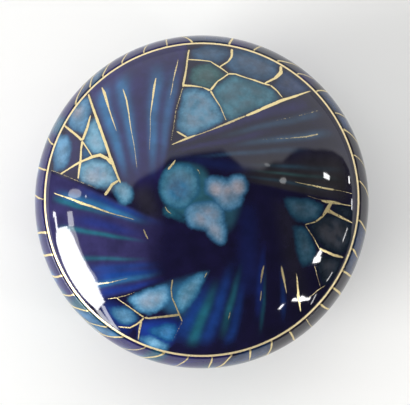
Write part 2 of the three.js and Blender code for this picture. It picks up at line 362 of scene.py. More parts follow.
lidDecor = {
    "around": 0.0,              # length after which the plane closes on itself
    "ring": (0.95, 0.42),       # gilt ring: how far in from the edge, and its half width
    "corner": 0.8,              # rounding of the cells
    "wobble": 0.1,
    "swell": 0.7,               # mm that a cell's colour runs beyond its outline
    "fans": [
        {"apex": (-27.9, 11.0), "spread": (-9.9, 22.3), "from": 22.0, "fold": "ground",
         "bands": [(19.4, 2.0, "fold", 0.9, 16, 66), (12.0, 1.5, "fold", 0.8, 14, 50),
                   (14.8, 1.2, "slate", 0.5, 40, 72), (8.9, 1.2, "slate", 0.7, 44, 72),
                   (4.6, 1.0, "slate", 0.5, 30, 60),
                   # the wide char band: dark pigment, and partly a painted reflection of the room's dim
                   # side
                   (-5.0, 7.4, "char", 0.95, 44, 90), (-1.0, 0.7, "lagoon", 0.45, 50, 74),
                   (-3.6, 0.5, "green", 0.5, 50, 72), (-6.4, 0.6, "lagoon", 0.4, 46, 70)]},
        {"apex": (-17.7, -22.5), "spread": (80.0, 110.8), "from": 29.0, "fold": "fold",
         "bands": [(106.3, 2.3, "blue", 0.95, 34, 66), (99.0, 2.3, "blue", 0.85, 36, 66),
                   (88.7, 2.2, "blue", 0.78, 34, 66), (83.2, 1.8, "blue", 0.55, 38, 64)]},
        {"apex": (16.5, -22.5), "spread": (155.0, 195.3), "from": 36.0, "fold": "haze",
         "bands": [(157.8, 1.6, "azure", 0.7, 36, 60), (160.2, 1.4, "blue", 1.0, 42, 68),
                   (162.2, 0.8, "sea", 0.8, 56, 76), (166.6, 2.0, "deep", 0.5, 42, 60),
                   (169.8, 0.8, "sea", 0.8, 42, 66), (179.2, 0.8, "sea", 0.6, 40, 62),
                   (182.6, 1.6, "azure", 0.6, 30, 54), (186.6, 2.2, "azure", 0.95, 28, 52),
                   (188.6, 1.3, "blue", 0.8, 32, 58), (192.8, 1.8, "deep", 0.8, 30, 54)]},
        {"apex": (25.1, 19.0), "spread": (-118.4, -78.5), "from": 36.0, "fold": "ground",
         "bands": [(-115.2, 2.8, "azure", 0.8, 58, 74), (-112.2, 1.5, "sea", 0.9, 58, 76),
                   (-108.8, 2.0, "azure", 0.7, 50, 73), (-104.9, 1.1, "sea", 0.65, 50, 66),
                   (-102.4, 1.4, "azure", 0.6, 54, 76), (-95.6, 1.3, "deep", 0.5, 40, 58),
                   (-93.8, 0.6, "sea", 0.4, 50, 64), (-86.6, 0.9, "azure", 0.5, 48, 60)]},
    ],
    "washes": [                 # soft grounds: colour, softness, strength and corners
        ("deep", 1.6, 0.95, (-22.4, -43.4), (-7.6, -42.6), (-10.6, -52.4), (-21.5, -52.0)),
        ("deep", 2.0, 0.6, (-34.0, -35.0), (-22.0, -42.0), (-27.0, -48.5), (-36.0, -41.0)),
        ("lake", 2.0, 0.7, (-22.0, -34.0), (-7.0, -42.5), (1.0, -27.0)),
        ("fold", 2.4, 0.8, (-47.0, 9.0), (-42.6, 10.0), (-42.2, 19.5), (-47.0, 24.0)),
        ("azure", 3.0, 0.5, (-22.0, 14.6), (16.0, 9.0), (4.0, 6.4), (-10.0, 12.6)),
        ("deep", 3.0, 0.22, (13.0, -4.0), (18.0, -4.0), (20.0, -34.0), (13.0, -34.0)),
        ("char", 3.0, 0.6, (-25.0, 2.0), (-18.0, 4.0), (-14.0, -8.0), (-20.0, -8.0)),
        ("char", 4.0, 0.5, (26.0, -3.0), (31.0, -4.0), (36.0, -33.0), (31.0, -34.0)),
        # painted reflection: brownish black where the gloss mirrors the dim side of the room
        ("char", 4.0, 0.6, (34.5, 15.0), (50.0, 15.0), (53.0, 3.5), (34.0, 5.5)),
        ("reed", 1.4, 0.8, (-12.6, -4.6), (-14.6, 4.0), (-11.0, 11.0), (1.0, 9.8), (7.0, -7.0),
         (3.6, -10.0), (-5.4, -8.8)),
        ("reed", 1.6, 0.5, (6.0, -4.0), (14.0, -2.0), (12.6, -9.0), (8.4, -14.0), (6.0, -10.0)),
    ],
    "cells": [
        ("brook", (-47.4, 28.6), (-46.5, 25.6), (-41.7, 22.1), (-38.7, 30.7), (-40.6, 35.7),
         (-45.1, 32.2)),
        ("frost", (-41.2, 19.1), (-37.4, 14.5), (-32.6, 15.1), (-37.3, 28.0), (-39.8, 24.1)),
        ("brook", (-52.7, 14.2), (-51.6, 9.8), (-47.5, 10.5), (-45.6, 17.2), (-47.2, 21.9),
         (-50.9, 22.9)),
        ("lake", (-41.6, 17.7), (-41.5, 12.5), (-38.8, 14.0)),
        ("frost", (-42.4, 5.8), (-37.3, 3.0), (-32.0, 2.5), (-28.8, 5.5), (-31.7, 10.9), (-36.7, 13.2),
         (-42.0, 11.6)),
        ("frost", (-30.8, 2.5), (-29.8, -0.7), (-27.4, -3.1), (-24.3, -2.8), (-23.1, 0.2), (-24.6, 3.7),
         (-28.1, 4.8)),
        ("green", (-4.1, 39.7), (3.3, 37.6), (8.2, 42.5), (2.9, 47.5), (-3.7, 44.8)),
        ("pale", (-8.5, 22.4), (-4.0, 20.2), (8.1, 26.3), (2.6, 36.5), (0.1, 37.4), (-6.1, 37.5)),
        ("mist", (3.6, 36.1), (9.5, 25.6), (27.7, 34.5), (22.2, 39.1), (9.9, 42.8), (6.0, 39.7)),
        ("slate", (-3.8, 52.0), (-3.4, 49.1), (6.1, 47.2), (9.8, 50.9), (9.7, 53.4), (1.9, 54.8)),
        ("slate", (8.2, 46.0), (10.6, 44.1), (21.8, 40.4), (26.2, 43.2), (27.1, 48.2), (18.9, 52.2),
         (11.8, 53.1)),
        ("shade", (25.4, 39.1), (29.5, 35.0), (38.0, 38.8), (29.5, 45.5)),
        ("lagoon", (28.6, -1.0), (29.8, -5.8), (33.6, -9.2), (38.6, -8.7), (41.8, -6.2), (42.1, -2.7),
         (36.4, -0.8)),
        ("lagoon", (31.5, -11.0), (32.6, -18.1), (34.8, -23.9), (37.6, -23.5), (39.7, -19.4),
         (38.6, -15.3), (35.4, -10.5)),
        ("night", (37.1, -10.8), (42.2, -17.6), (49.6, -20.1), (51.8, -17.6), (52.8, -9.5),
         (44.3, -5.8)),
        ("night", (40.1, -24.2), (42.8, -30.6), (46.8, -28.1), (49.3, -21.8), (41.1, -20.0)),
        ("night", (45.8, -4.7), (53.2, -7.8), (52.8, -3.6), (46.5, -2.9)),
        ("sky", (-25.5, -35.6), (-20.7, -40.5), (-17.9, -40.7), (-13.1, -38.8), (-10.9, -35.4),
         (-11.6, -31.1), (-20.6, -32.9)),
        ("pale", (-9.9, -36.7), (-7.8, -40.5), (-3.3, -37.4), (1.9, -26.4), (-4.7, -28.9),
         (-8.5, -32.6)),
        ("brook", (-32.3, -38.7), (-28.9, -44.1), (-25.0, -44.3), (-22.1, -41.8), (-26.9, -38.4)),
        ("sky", (-21.8, -48.8), (-19.2, -51.8), (-13.0, -53.6), (-11.4, -52.4), (-17.4, -48.4)),
        ("blue", (-18.4, -46.8), (-12.4, -50.4), (-9.6, -49.6), (-8.6, -45.0), (-12.2, -44.0)),
        ("reed", (-13.4, -6.4), (-8.1, -9.2), (-4.6, -9.4), (-6.0, -7.5), (-12.8, -4.2)),
    ],
    "pools": [
        ("fjord", (-7.2, 3.8, 7.1), (-7.8, 1.6, 6.8)),
        ("mere", (4.9, 2.5, 4.4), (12.3, 2.9, 4.2), (8.4, -1.4, 4.4), (10.9, -1.2, 3.6),
         (8.4, 1.6, 3.4)),
        ("mere", (-0.9, -7.3, 5.2), (2.9, -7.1, 5.4), (5.1, -12.3, 3.8), (6.5, -15.3, 2.2)),
    ],
    "blooms": [                 # pale hearts of the cells, and one painted highlight: colour, softness, strength and circles
        ("rose", 1.6, 0.78, (5.2, 1.6, 2.0), (9.0, 1.3, 1.4), (12.6, 2.3, 2.2)),
        ("rose", 1.8, 0.42, (0.0, -9.0, 1.5), (3.6, -11.6, 1.9), (5.4, -14.2, 0.8), (1.6, -6.0, 0.8)),
        # painted highlight: a pale glare near the edge at the upper left, laid in rose
        ("rose", 2.6, 0.9, (-44.4, 31.0, 1.6)),
        ("rose", 2.4, 0.2, (-18.4, -36.0, 2.6)),
        ("rose", 2.4, 0.4, (-38.6, 5.4, 2.2)),
        ("lake", 2.0, 0.5, (-36.0, 8.2, 1.6)),
        ("lake", 2.0, 0.8, (-7.8, 1.4, 3.9)),
    ],
    "lines": [
        (0.1, (-40.3, 37.0, 0.3), (-35.8, 25.3, 0.44), (-31.7, 13.0, 0.44), (-27.8, 4.1, 0.28)),
        (0.1, (-38.8, 28.8, 0.22), (-40.1, 24.1, 0.36), (-41.7, 19.7, 0.4)),
        (0.1, (-48.6, 26.0, 0.36), (-45.2, 22.9, 0.38), (-41.7, 19.7, 0.44)),
        (0.1, (-41.7, 19.7, 0.42), (-42.3, 16.3, 0.34), (-42.4, 12.0, 0.34), (-43.0, 6.0, 0.22)),
        (0.1, (-41.7, 19.4, 0.26), (-38.1, 13.6, 0.16)),
        (0.1, (-49.7, 8.2, 0.24), (-42.4, 12.0, 0.34), (-38.1, 13.6, 0.44), (-35.3, 14.2, 0.56),
         (-32.8, 12.9, 0.5), (-31.1, 10.7, 0.36)),
        (0.1, (-33.3, -0.1, 0.4), (-30.9, 3.7, 0.5), (-28.5, 5.1, 0.34)),
        (0.75, (-54.7, 10.8, 0.14), (-43.0, 5.3, 0.16), (-36.5, 2.6, 0.08)),
        (0.1, (-35.4, 39.2, 0.2), (-34.2, 36.8, 0.44), (-32.4, 31.0, 0.26), (-29.6, 22.5, 0.06)),
        (0.1, (-27.7, 38.1, 0.12), (-26.3, 34.1, 0.3), (-25.2, 28.5, 0.2), (-24.1, 21.3, 0.08),
         (-22.2, 9.2, 0.05)),
        (0.15, (-16.1, 41.9, 0.16), (-16.6, 38.2, 0.38), (-17.1, 33.7, 0.26), (-17.6, 27.5, 0.08),
         (-18.0, 15.4, 0.04)),
        (0.45, (-8.3, 49.0, 0.16), (-9.1, 44.9, 0.26), (-10.1, 39.9, 0.2), (-11.0, 33.6, 0.08)),
        (0.25, (-4.4, 52.8, 0.3), (-5.6, 44.4, 0.3), (-6.6, 38.0, 0.34)),
        (0.7, (-6.6, 38.0, 0.22), (-8.7, 29.6, 0.18), (-10.5, 18.2, 0.12)),
        (0.1, (-5.0, 48.7, 0.2), (3.0, 48.0, 0.18), (6.2, 45.8, 0.28), (9.4, 43.2, 0.12)),
        (0.1, (10.8, 53.3, 0.4), (10.6, 50.1, 0.34), (9.3, 48.0, 0.26), (6.2, 45.8, 0.24)),
        (0.15, (-6.7, 38.7, 0.42), (-3.4, 38.5, 0.3), (0.2, 37.9, 0.13), (3.0, 36.8, 0.34)),
        (0.1, (3.0, 36.8, 0.34), (5.5, 40.3, 0.24), (9.4, 43.2, 0.24), (11.7, 43.2, 0.22),
         (16.0, 41.5, 0.2), (21.8, 39.7, 0.3), (24.1, 39.2, 0.22)),
        (0.3, (3.0, 36.8, 0.4), (4.6, 34.0, 0.26), (6.6, 30.7, 0.16), (8.6, 25.8, 0.14)),
        (0.1, (24.1, 39.2, 0.22), (26.4, 37.2, 0.22), (28.4, 34.8, 0.16)),
        (0.1, (28.1, 47.2, 0.42), (27.9, 44.4, 0.62), (25.6, 42.0, 0.4), (21.8, 39.7, 0.3)),
        (0.05, (38.7, 38.2, 0.12), (34.2, 36.3, 0.34), (27.7, 33.6, 0.56), (20.6, 29.9, 0.42),
         (15.4, 27.5, 0.36)),
        (0.55, (15.4, 27.5, 0.34), (8.8, 24.8, 0.42), (3.2, 22.5, 0.22), (-2.1, 20.4, 0.18)),
        (0.1, (-1.9, 20.6, 0.2), (-5.0, 19.4, 0.3), (-10.4, 17.0, 0.14)),
        (0.1, (-8.7, 21.8, 0.3), (-4.9, 19.5, 0.22)),
        (0.8, (41.3, 30.9, 0.16), (34.0, 28.5, 0.1), (25.5, 26.0, 0.06)),
        (0.7, (41.0, 22.2, 0.22), (36.7, 21.0, 0.3), (30.3, 20.0, 0.14), (20.5, 19.2, 0.06)),
        (0.15, (46.5, 2.4, 0.3), (42.2, 3.0, 0.26), (36.5, 4.0, 0.18), (32.2, 4.9, 0.08)),
        (0.3, (46.5, 2.4, 0.1), (53.2, 1.4, 0.1)),
        (0.5, (36.4, 0.2, 0.06), (40.7, -1.0, 0.14), (42.9, -1.4, 0.2)),
        (0.1, (41.6, -1.5, 0.3), (43.4, -1.8, 0.52), (46.4, -2.1, 0.5), (49.4, -2.5, 0.18),
         (52.8, -2.9, 0.16)),
        (0.1, (45.3, -2.0, 0.5), (43.6, -4.8, 0.62), (42.1, -6.9, 0.3), (39.3, -8.9, 0.2),
         (35.7, -10.0, 0.16)),
        (0.1, (43.3, -4.6, 0.56), (46.5, -6.0, 0.48), (49.8, -7.6, 0.32), (53.1, -8.9, 0.18)),
        (0.3, (35.7, -10.0, 0.14), (38.6, -14.0, 0.16), (40.8, -18.0, 0.22)),
        (0.05, (40.8, -18.0, 0.28), (43.3, -19.0, 0.42), (46.2, -20.3, 0.46), (49.8, -21.1, 0.3)),
        (0.45, (39.4, -23.8, 0.12), (40.5, -27.6, 0.14), (41.8, -31.8, 0.12)),
        (0.6, (43.6, -30.7, 0.14), (40.5, -32.4, 0.26), (36.8, -35.6, 0.1)),
        (0.1, (21.5, -24.3, 0.12), (21.1, -26.1, 0.34), (20.7, -28.8, 0.2), (20.5, -30.5, 0.08)),
        (0.3, (20.6, -32.9, 0.1), (20.4, -34.6, 0.26), (20.1, -36.7, 0.08)),
        (0.05, (27.7, -24.3, 0.12), (28.1, -26.7, 0.38), (28.8, -30.1, 0.26), (29.4, -33.6, 0.08)),
        (0.05, (32.9, -26.7, 0.08), (33.4, -30.4, 0.32), (33.7, -35.2, 0.38), (34.5, -39.9, 0.2)),
        (0.3, (9.9, -39.8, 0.08), (9.6, -41.2, 0.2), (9.1, -42.9, 0.08)),
        (0.2, (-32.9, -35.6, 0.08), (-29.7, -35.1, 0.16), (-24.8, -38.6, 0.18), (-20.0, -41.9, 0.3)),
        (0.05, (-20.0, -41.9, 0.3), (-18.5, -42.3, 0.26), (-13.7, -41.9, 0.3), (-7.6, -41.1, 0.36)),
        (0.05, (-20.0, -42.1, 0.28), (-22.5, -44.1, 0.3), (-25.0, -45.4, 0.28), (-29.3, -45.1, 0.12)),
        (0.1, (-21.0, -43.0, 0.34), (-21.8, -46.3, 0.3), (-22.1, -49.7, 0.14)),
        (0.15, (-9.8, -29.1, 0.28), (-10.5, -32.6, 0.2), (-10.3, -35.4, 0.2), (-8.8, -38.8, 0.24),
         (-6.7, -43.6, 0.22)),
        (0.75, (-6.7, -43.6, 0.16), (-8.9, -47.9, 0.12), (-10.2, -50.5, 0.06)),
        (0.4, (2.1, -26.4, 0.1), (1.5, -27.6, 0.28), (1.0, -28.6, 0.08)),
        (0.6, (-32.9, -35.6, 0.1), (-29.7, -35.1, 0.18), (-26.2, -34.3, 0.2), (-23.0, -33.1, 0.06)),
        (0.05, (-52.0, 1.8, 0.14), (-47.3, -0.1, 0.24), (-42.2, -2.2, 0.42), (-35.1, -4.9, 0.28),
         (-29.5, -6.7, 0.14), (-23.2, -8.4, 0.06)),
        (0.45, (-40.7, -30.7, 0.1), (-36.7, -30.4, 0.34), (-31.7, -29.9, 0.24), (-25.4, -28.5, 0.1)),
        (0.1, (-11.5, 8.4, 0.3), (-10.0, 10.3, 0.34), (-9.1, 11.8, 0.2)),
        (0.4, (-1.8, 9.0, 0.1), (-0.9, 8.0, 0.26), (-0.4, 6.8, 0.08)),
        (0.3, (-12.5, -4.2, 0.1), (-11.8, -5.7, 0.24), (-10.3, -6.9, 0.08)),
        (0.6, (-20.1, -11.8, 0.12), (-19.4, -13.5, 0.26), (-18.4, -15.3, 0.2)),
    ],
}


# The bowl's painting, on its side rolled out flat: ladders of cells between pairs of borders, and
# pleats between the ladders. A border or a ray is (angle at the seam, lean in degrees over the
# first 10 mm), and a ray also has its length, half width and wear.

bowlDecor = {
    "around": 2 * math.pi * form["belly"],
    "ring": (-5.0, 0.3),        # above the side's top, so the bowl shows none
    "corner": 0.9,
    "swell": 0.5,
    "wobble": 0.2,
    "ease": 14.0,               # mm down over which a lean dies away
    "rungs": (9.0, 19.0, 29.0, 39.0, 47.0),
    "seed": 7,                  # of the rungs below
    "tilt": 2.2,                # mm up or down of a rung's ends
    "sag": 2.0,                 # mm up or down of its middle
    "joint": (0.36, 0.64),      # where along a rung its middle comes
    "rungWidth": (0.2, 0.4),    # half width
    "split": 0.6,               # share of the cells that a line divides
    "rungMiddle": 0.28,         # half width
    "rungEnd": 0.7,             # half width at its other end, as a share of that at its start
    "divider": (0.2, 0.3, 0.18),    # wear, and half width at its top and its foot
    "wear": 0.15,               # of borders and rungs
    "borderSteps": (-1.0, 4.0, 8.0, 13.0, 19.0, 26.0, 34.0, 42.0, 48.0),    # mm down
    "borderWidths": ((-1, 10, 30, 48), (0.32, 0.36, 0.3, 0.14)),            # mm down, half widths
    "ladders": [
        ((144.4, -13.0), (129.7, -8.5), ("shade", "slate", "mist", "shade")),
        ((93.5, 4.2), (80.1, -1.1), ("shade", "pale", "slate", "shade")),
        ((43.7, -3.5), (26.9, -8.0), ("shade", "mist", "lagoon", "shade")),
        ((-7.3, -4.0), (-27.1, 0.0), ("shade", "pale", "lagoon", "slate")),
        ((-63.3, -4.0), (-78.5, -7.0), ("shade", "sky", "pale", "slate")),
        ((-118.4, -9.8), (-134.6, -7.6), ("lake", "sky", "pale", "slate")),
    ],
    "rays": [
        (169.8, -1.4, 26, 0.34, 0.2), (160.3, -3.0, 16, 0.3, 0.2), (180.7, -3.1, 30, 0.34, 0.2),
        (192.6, -1.7, 20, 0.36, 0.1), (201.1, -2.5, 34, 0.38, 0.1), (209.5, -2.8, 22, 0.36, 0.2),
        (217.6, -4.0, 30, 0.3, 0.3), (121.0, -7.0, 30, 0.3, 0.3), (112.0, -4.0, 22, 0.3, 0.4),
        (103.0, -1.0, 30, 0.26, 0.4), (71.0, -3.0, 32, 0.3, 0.4), (62.0, -12.0, 36, 0.3, 0.2),
        (53.5, -9.0, 24, 0.26, 0.3), (17.0, -7.0, 28, 0.28, 0.4), (7.3, -8.0, 36, 0.3, 0.2),
        (-18.2, -3.2, 8, 0.34, 0.1), (-33.9, -0.5, 30, 0.36, 0.1), (-41.5, 0.7, 22, 0.36, 0.1),
        (-49.0, -0.2, 34, 0.24, 0.5), (-56.4, -0.2, 26, 0.34, 0.2), (-71.8, -2.4, 8, 0.34, 0.1),
        (-86.0, -2.0, 26, 0.3, 0.2), (-94.0, -6.0, 34, 0.26, 0.4), (-102.7, -10.0, 36, 0.36, 0.1),
        (-110.0, -9.0, 24, 0.26, 0.4),
    ],
    "washes": [
        # painted shade: brownish black over the side turned away from the window
        ("char", 4.0, 0.85, (-74.0, 4.0), (50.0, 4.0), (46.0, -13.0), (-70.0, -13.0)),
        ("mist", 2.0, 0.6, (157.0, 3.0), (164.0, 3.0), (162.0, -11.0), (156.0, -11.0)),
        ("reed", 2.0, 0.8, (-148.0, 3.0), (-132.0, 3.0), (-136.0, -12.0), (-150.0, -12.0)),
        ("sea", 2.0, 0.7, (-112.0, 3.0), (-106.0, 3.0), (-112.0, -12.0), (-118.0, -12.0)),
        ("night", 3.0, 0.8, (56.0, 3.0), (78.0, 3.0), (74.0, -10.0), (52.0, -10.0)),
    ],
    "cells": [],
    "pools": [],
    "lines": [],
}


def swung(angle, lean, down):   # where a leaning line is on the rolled-out side
    ease = bowlDecor["ease"]
    turned = angle + lean * (1 - np.exp(-np.maximum(down, 0) / ease)) / (1 - math.exp(-10 / ease))
    return turned / 360 * bowlDecor["around"]


def layBowlDecor(random):
    lines, cells = bowlDecor["lines"], bowlDecor["cells"]
    tilt, sag, steps = bowlDecor["tilt"], bowlDecor["sag"], bowlDecor["borderSteps"]
    wear, top, foot = bowlDecor["divider"]
    for left, right, fills in bowlDecor["ladders"]:
        for angle, lean in (left, right):
            widths = np.interp(steps, *bowlDecor["borderWidths"])
            points = ((swung(angle, lean, d), -d, w) for d, w in zip(steps, widths))
            lines.append((bowlDecor["wear"], *points))
        above = None
        rungs = (0.0, *bowlDecor["rungs"])
        for number, down in enumerate(rungs):
            slant = random.uniform(-tilt, tilt)
            ends = (down - slant, down + slant) if number else (0.0, 0.0)
            start = (float(swung(*left, ends[0])), -ends[0])
            stop = (float(swung(*right, ends[1])), -ends[1])
            share = random.uniform(*bowlDecor["joint"])
            middle = (start[0] + (stop[0] - start[0]) * share,
                      -down + (random.uniform(-sag, sag) if number else 0.0))
            if number:
                width = random.uniform(*bowlDecor["rungWidth"])
                lines.append((bowlDecor["wear"], (*start, width), (*middle, bowlDecor["rungMiddle"]),
                              (*stop, width * bowlDecor["rungEnd"])))
                fill = fills[min(number - 1, len(fills) - 1)]
                if random.random() < bowlDecor["split"]:
                    lines.append((wear, (*above[1], top), (*middle, foot)))
                    cells.append((fill, above[0], above[1], middle, start))
                    cells.append((random.choice(fills), above[1], above[2], stop, middle))
                else:
                    cells.append((fill, above[0], above[2], stop, start))
            above = (start, middle, stop)
    for angle, lean, length, width, wear in bowlDecor["rays"]:      # each runs out to a point
        downs = (-1.0, 2.0, length * 0.35, length * 0.7, length)
        widths = (width, width * 1.05, width, width * 0.4, 0.05)
        lines.append((wear, *((swung(angle, lean, d), -d, w) for d, w in zip(downs, widths))))


# Painting: fields on the mesh's points and corners that the glaze's material reads. Lengths are
# in millimetres.

brush = {
    "hearts": {"mere": 0.3, "sky": 0.35, "frost": 0.3, "pale": 0.25},   # share of rose, with patches
    "otherHearts": 0.1,
    "washCorner": 1.5,          # rounding of a wash's corners
    "poolBlur": 0.6,            # over which a pool's circles run together
    "crisp": 2.2,               # how sharply a stripe ends at its sides, higher being sharper
    "sway": (0.25, 0.21),       # of a band: share of its width, and radians per millimetre
    "fanBorder": 1.6,           # soft border along a fan
    "fanStart": (-8, 6),        # about a fan's start, over which it comes up
    "bandStart": (-8, 8),       # about a band's start, and then about its end
    "bandEnd": (7, -5),
    "bandRim": (2.5, 8.0),      # in from the edge, over which the bands come up
    "pleats": ("blue", "sea", "azure", "blue", "slate"),    # colours of the bowl's, in turn
    "pleatStrength": 0.8,
    "pleatWidth": 2.4,          # half
    "pleatTop": (2.0, 9.0),     # down from the seam
    "pleatEnd": (14, -4),       # about the end of a pleat's ray
    "pleatFoot": (50.0, 40.0),  # down, over which all of them die away
    "ladderBorder": (-0.2, 1.4),    # outside a ladder's border
    "strokeTip": 0.35,          # over which a stroke's end narrows
    "strokeReach": 4.0,         # from a stroke, as far as faces look for one
    "noStroke": (9.0, 0.0, 0.0),    # far across, with no width and no wear
    "outside": -6.0,            # depth where there is no cell near
}


def blend(low, high, value):    # smooth step from 0 at low to 1 at high
    share = np.clip((value - low) / (high - low), 0, 1)
    return share * share * (3 - 2 * share)


def blendAbout(middle, limits, value):
    return blend(middle + limits[0], middle + limits[1], value)


def laidOver(ground, tint, amount):     # one colour over another, by the amount at each point
    return ground * (1 - amount[:, None]) + tint * amount[:, None]


def wrapped(offsets, around):   # the short way round a side that closes on itself
    return (offsets + around / 2) % around - around / 2


def wobbled(points, size):      # the hand's unsteadiness: a slow, smooth drift of the lines
    x, y = points[:, 0], points[:, 1]
    shift = np.stack([np.sin(0.23 * y + 1.3) + 0.6 * np.sin(0.61 * x + 0.52 * y + 4.0),
                      np.sin(0.21 * x + 0.4) + 0.6 * np.sin(0.57 * y - 0.48 * x + 2.1)], axis=1)
    return points + size * shift


def nearest(points, anchor, around):    # on a side that closes on itself, the copy by the anchor
    if not around:
        return points
    moved = points.copy()
    moved[:, 0] = wrapped(points[:, 0] - anchor[0], around) + anchor[0]
    return moved


# How deep points lie in a convex cell with eased corners, or in a pool of circles that run
# together. The clip limits keep the powers within range.

def cellDepth(corners, points, rounding):
    corners = np.array(corners)
    ahead = np.roll(corners, -1, axis=0)
    spin = np.sum(corners[:, 0] * ahead[:, 1] - corners[:, 1] * ahead[:, 0])
    total = np.zeros(len(points))
    for here, there in zip(corners, ahead):
        along = (there - here) / np.linalg.norm(there - here)
        normal = np.array((-along[1], along[0])) * np.sign(spin)
        total += np.exp(-np.clip((points - here) @ normal, -12, 60) / rounding)
    return -rounding * np.log(total)


def poolDepth(circles, points):
    blur = brush["poolBlur"]
    total = sum(np.exp(np.clip(r - np.hypot(points[:, 0] - x, points[:, 1] - y), -20, 20) / blur)
                for x, y, r in circles)
    return blur * np.log(total)


def fanShade(shade, fan, points, rimDistance):
    away = points - np.array(fan["apex"])
    reach = np.hypot(away[:, 0], away[:, 1])
    first, last = fan["spread"]
    middle = (first + last) / 2
    angle = (np.degrees(np.arctan2(away[:, 1], away[:, 0])) - middle + 180) % 360 - 180
    toBorder = reach * np.radians((last - first) / 2 - np.abs(angle))
    within = blend(0.0, brush["fanBorder"], toBorder)
    within *= blendAbout(fan["from"], brush["fanStart"], reach)
    pleats = np.repeat(colour[fan["fold"]][None], len(points), axis=0)
    sway, pace = brush["sway"]
    for bandAngle, halfWidth, name, strength, near, far in fan["bands"]:
        offset = (angle + middle - bandAngle) / halfWidth
        offset += sway * np.sin(reach * pace + bandAngle) * blend(near, far, reach)
        amount = strength * np.exp(-np.abs(offset) ** brush["crisp"])
        ends = blendAbout(near, brush["bandStart"], reach) * blendAbout(far, brush["bandEnd"], reach)
        amount *= ends
        pleats = laidOver(pleats, colour[name], amount * blend(*brush["bandRim"], rimDistance))
    return laidOver(shade, pleats, within)


def pleatShade(shade, decor, points):   # the bowl's pleats, one along each ray
    down = -points[:, 1]
    names = brush["pleats"]
    pleats = np.repeat(colour["fold"][None], len(points), axis=0)
    for number, (angle, lean, length, _, _) in enumerate(decor["rays"]):
        offset = wrapped(points[:, 0] - swung(angle, lean, down), decor["around"])
        amount = np.exp(-np.abs(offset / brush["pleatWidth"]) ** brush["crisp"])
        amount = brush["pleatStrength"] * amount * blend(*brush["pleatTop"], down)
        amount = amount * blendAbout(length, brush["pleatEnd"], down)
        pleats = laidOver(pleats, colour[names[number % len(names)]], amount)
    within = np.ones(len(points))
    for left, right, _ in decor["ladders"]:
        centre = (swung(*left, down) + swung(*right, down)) / 2
        half = np.abs(swung(*left, down) - swung(*right, down)) / 2
        offset = wrapped(points[:, 0] - centre, decor["around"])
        within *= blendAbout(half, brush["ladderBorder"], np.abs(offset))
    return laidOver(shade, pleats, within * blend(*brush["pleatFoot"], down))


def paintFields(mesh, decor, points, toRim):    # colours, and how deep a point lies in a cell
    shade = np.repeat(colour["ground"][None], len(points), axis=0)
    for fan in decor.get("fans", ()):
        shade = fanShade(shade, fan, points, toRim)
    if "rays" in decor:
        shade = pleatShade(shade, decor, points)
    for name, soft, strength, *corners in decor["washes"]:
        amount = strength * blend(-soft, soft, cellDepth(corners, points, brush["washCorner"]))
        shade = laidOver(shade, colour[name], amount)
    depth, heart = np.full(len(points), brush["outside"]), np.zeros(len(points))
    fill = np.repeat(colour["ground"][None], len(points), axis=0)
    areas = [(name, corners, cellDepth) for name, *corners in decor["cells"]]
    areas += [(name, circles, poolDepth) for name, *circles in decor["pools"]]
    for name, outline, measure in areas:
        local = nearest(points, outline[0], decor["around"])
        if measure is cellDepth:
            here = cellDepth(outline, local, decor["corner"]) + decor["swell"]
        else:
            here = poolDepth(outline, local)
        closer = here > depth
        depth = np.where(closer, here, depth)
        fill[closer] = colour[name]
        heart = np.where(closer, brush["hearts"].get(name, brush["otherHearts"]), heart)
    for name, soft, strength, *circles in decor.get("blooms", ()):
        amount = strength * blend(-soft, soft, poolDepth(circles, points))
        fill = laidOver(fill, colour[name], amount)
    addColour(mesh, "shade", shade)
    addColour(mesh, "fill", fill)
    layer = mesh.attributes.new("layer", "FLOAT_VECTOR", "POINT")
    rows = np.stack([depth, heart, toRim], axis=1)
    layer.data.foreach_set("vector", rows.astype(np.float32).ravel())


def addColour(mesh, name, values):
    attribute = mesh.attributes.new(name, "FLOAT_COLOR", "POINT")
    rows = np.concatenate([values, np.ones((len(values), 1))], axis=1)
    attribute.data.foreach_set("color", rows.astype(np.float32).ravel())


def drawLines(mesh, decor, centres, corners, faceOf):   # each face keeps its two nearest strokes
    around = decor["around"]
    pieces = []
    for wear, *row in decor["lines"]:
        row = np.array(row, float)
        for number in range(len(row) - 1):
            first, last = number == 0, number == len(row) - 2
            pieces.append((row[number], row[number + 1], first, last, wear))
    gaps = [np.full(len(centres), brush["strokeReach"]) for _ in range(2)]
    owners = [np.full(len(centres), -1) for _ in range(2)]
    for number, (start, end, _, _, _) in enumerate(pieces):
        local = nearest(centres, start, around)
        along = end[:2] - start[:2]
        share = np.clip(((local - start[:2]) @ along) / (along @ along), 0, 1)
        gap = np.hypot(*(local - start[:2] - share[:, None] * along).T)
        gap -= start[2] + (end[2] - start[2]) * share
        best = gap < gaps[0]
        second = ~best & (gap < gaps[1])
        gaps[1] = np.where(best, gaps[0], np.where(second, gap, gaps[1]))
        owners[1] = np.where(best, owners[0], np.where(second, number, owners[1]))
        gaps[0] = np.where(best, gap, gaps[0])
        owners[0] = np.where(best, number, owners[0])
    for name, owner in (("lineNear", owners[0]), ("lineNext", owners[1])):
        values = np.tile(brush["noStroke"], (len(faceOf), 1))
        ofCorner = owner[faceOf]
        for number in np.unique(owner[owner >= 0]):
            mine = np.flatnonzero(ofCorner == number)
            start, end, first, last, wear = pieces[number]
            local = nearest(corners[mine], start, around)
            along = end[:2] - start[:2]
            length = float(np.hypot(*along))
            unit = along / length
            run = (local - start[:2]) @ unit
            width = start[2] + (end[2] - start[2]) * np.clip(run / length, 0, 1)
            before = run + (0.0 if first else start[2])     # strokes overlap where they join
            after = length - run + (0.0 if last else end[2])
            width = width * np.clip(np.minimum(before, after) / brush["strokeTip"], -1, 1)
            across = (local - start[:2]) @ np.array((-unit[1], unit[0]))
            values[mine] = np.stack([across, width, np.full(len(mine), wear)], axis=1)
        attribute = mesh.attributes.new(name, "FLOAT_VECTOR", "CORNER")
        attribute.data.foreach_set("vector", values.astype(np.float32).ravel())


